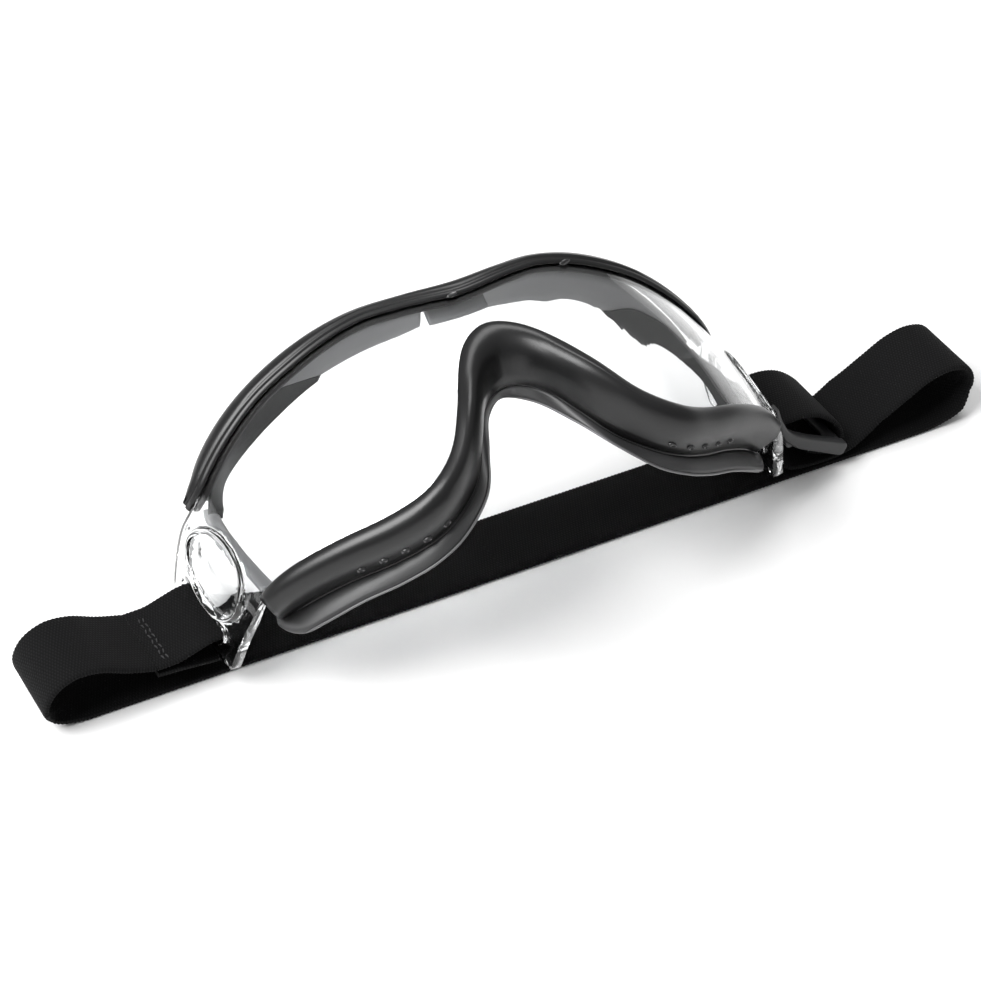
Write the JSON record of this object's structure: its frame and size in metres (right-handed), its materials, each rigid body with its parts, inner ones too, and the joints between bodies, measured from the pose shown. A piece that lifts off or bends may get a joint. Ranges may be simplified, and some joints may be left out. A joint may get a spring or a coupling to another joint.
{
  "type": "sports protective goggles",
  "caption": "Clear wrap-around sports goggles with black rims, soft face skirts and an adjustable elastic head strap.",
  "frame": {"origin": "middle of the goggles, on the underside of the strap that lies on the table", "axes": "+X across the face towards the strap slider, +Y towards the brow, +Z the way the wearer looks"},
  "size_m": [0.2937, 0.0721, 0.0821],
  "materials": {
    "clear_polycarbonate": "clear, polished",
    "rim_rubber": "satin",
    "skirt_rubber": "soft satin",
    "strap_webbing": "woven elastic",
    "stitching": "thread",
    "slider_plastic": "satin"
  },
  "bodies": {
    "goggles": {"lens_shield": "clear_polycarbonate", "lower_rim": "rim_rubber", "brow_rim": "rim_rubber", "lower_face_skirt": "skirt_rubber", "brow_skirt_left": "skirt_rubber", "brow_skirt_right": "skirt_rubber", "brow_skirt_centre": "skirt_rubber", "side_skirt_left": "skirt_rubber", "side_skirt_right": "skirt_rubber", "strap_band": "strap_webbing", "strap_end_right": "strap_webbing"},
    "left_strap": {"strap_end_left": "strap_webbing", "strap_loop_left": "strap_webbing", "stitch_row_left": "stitching"},
    "slider": {"strap_slider": "slider_plastic", "strap_loop_right": "strap_webbing", "stitch_row_right": "stitching"}
  },
  "joints": [
    {"name": "left_strap_swing", "type": "hinge", "parent": "goggles", "child": "left_strap", "pos_m": [-0.085, 0, 0.0104], "axis": [0, 1, 0], "range_deg": [0, 30]},
    {"name": "slider_travel", "type": "slide", "parent": "goggles", "child": "slider", "axis": [1, 0, 0], "range_m": [0, 0.025], "deforming": ["strap_end_right"]}
  ]
}
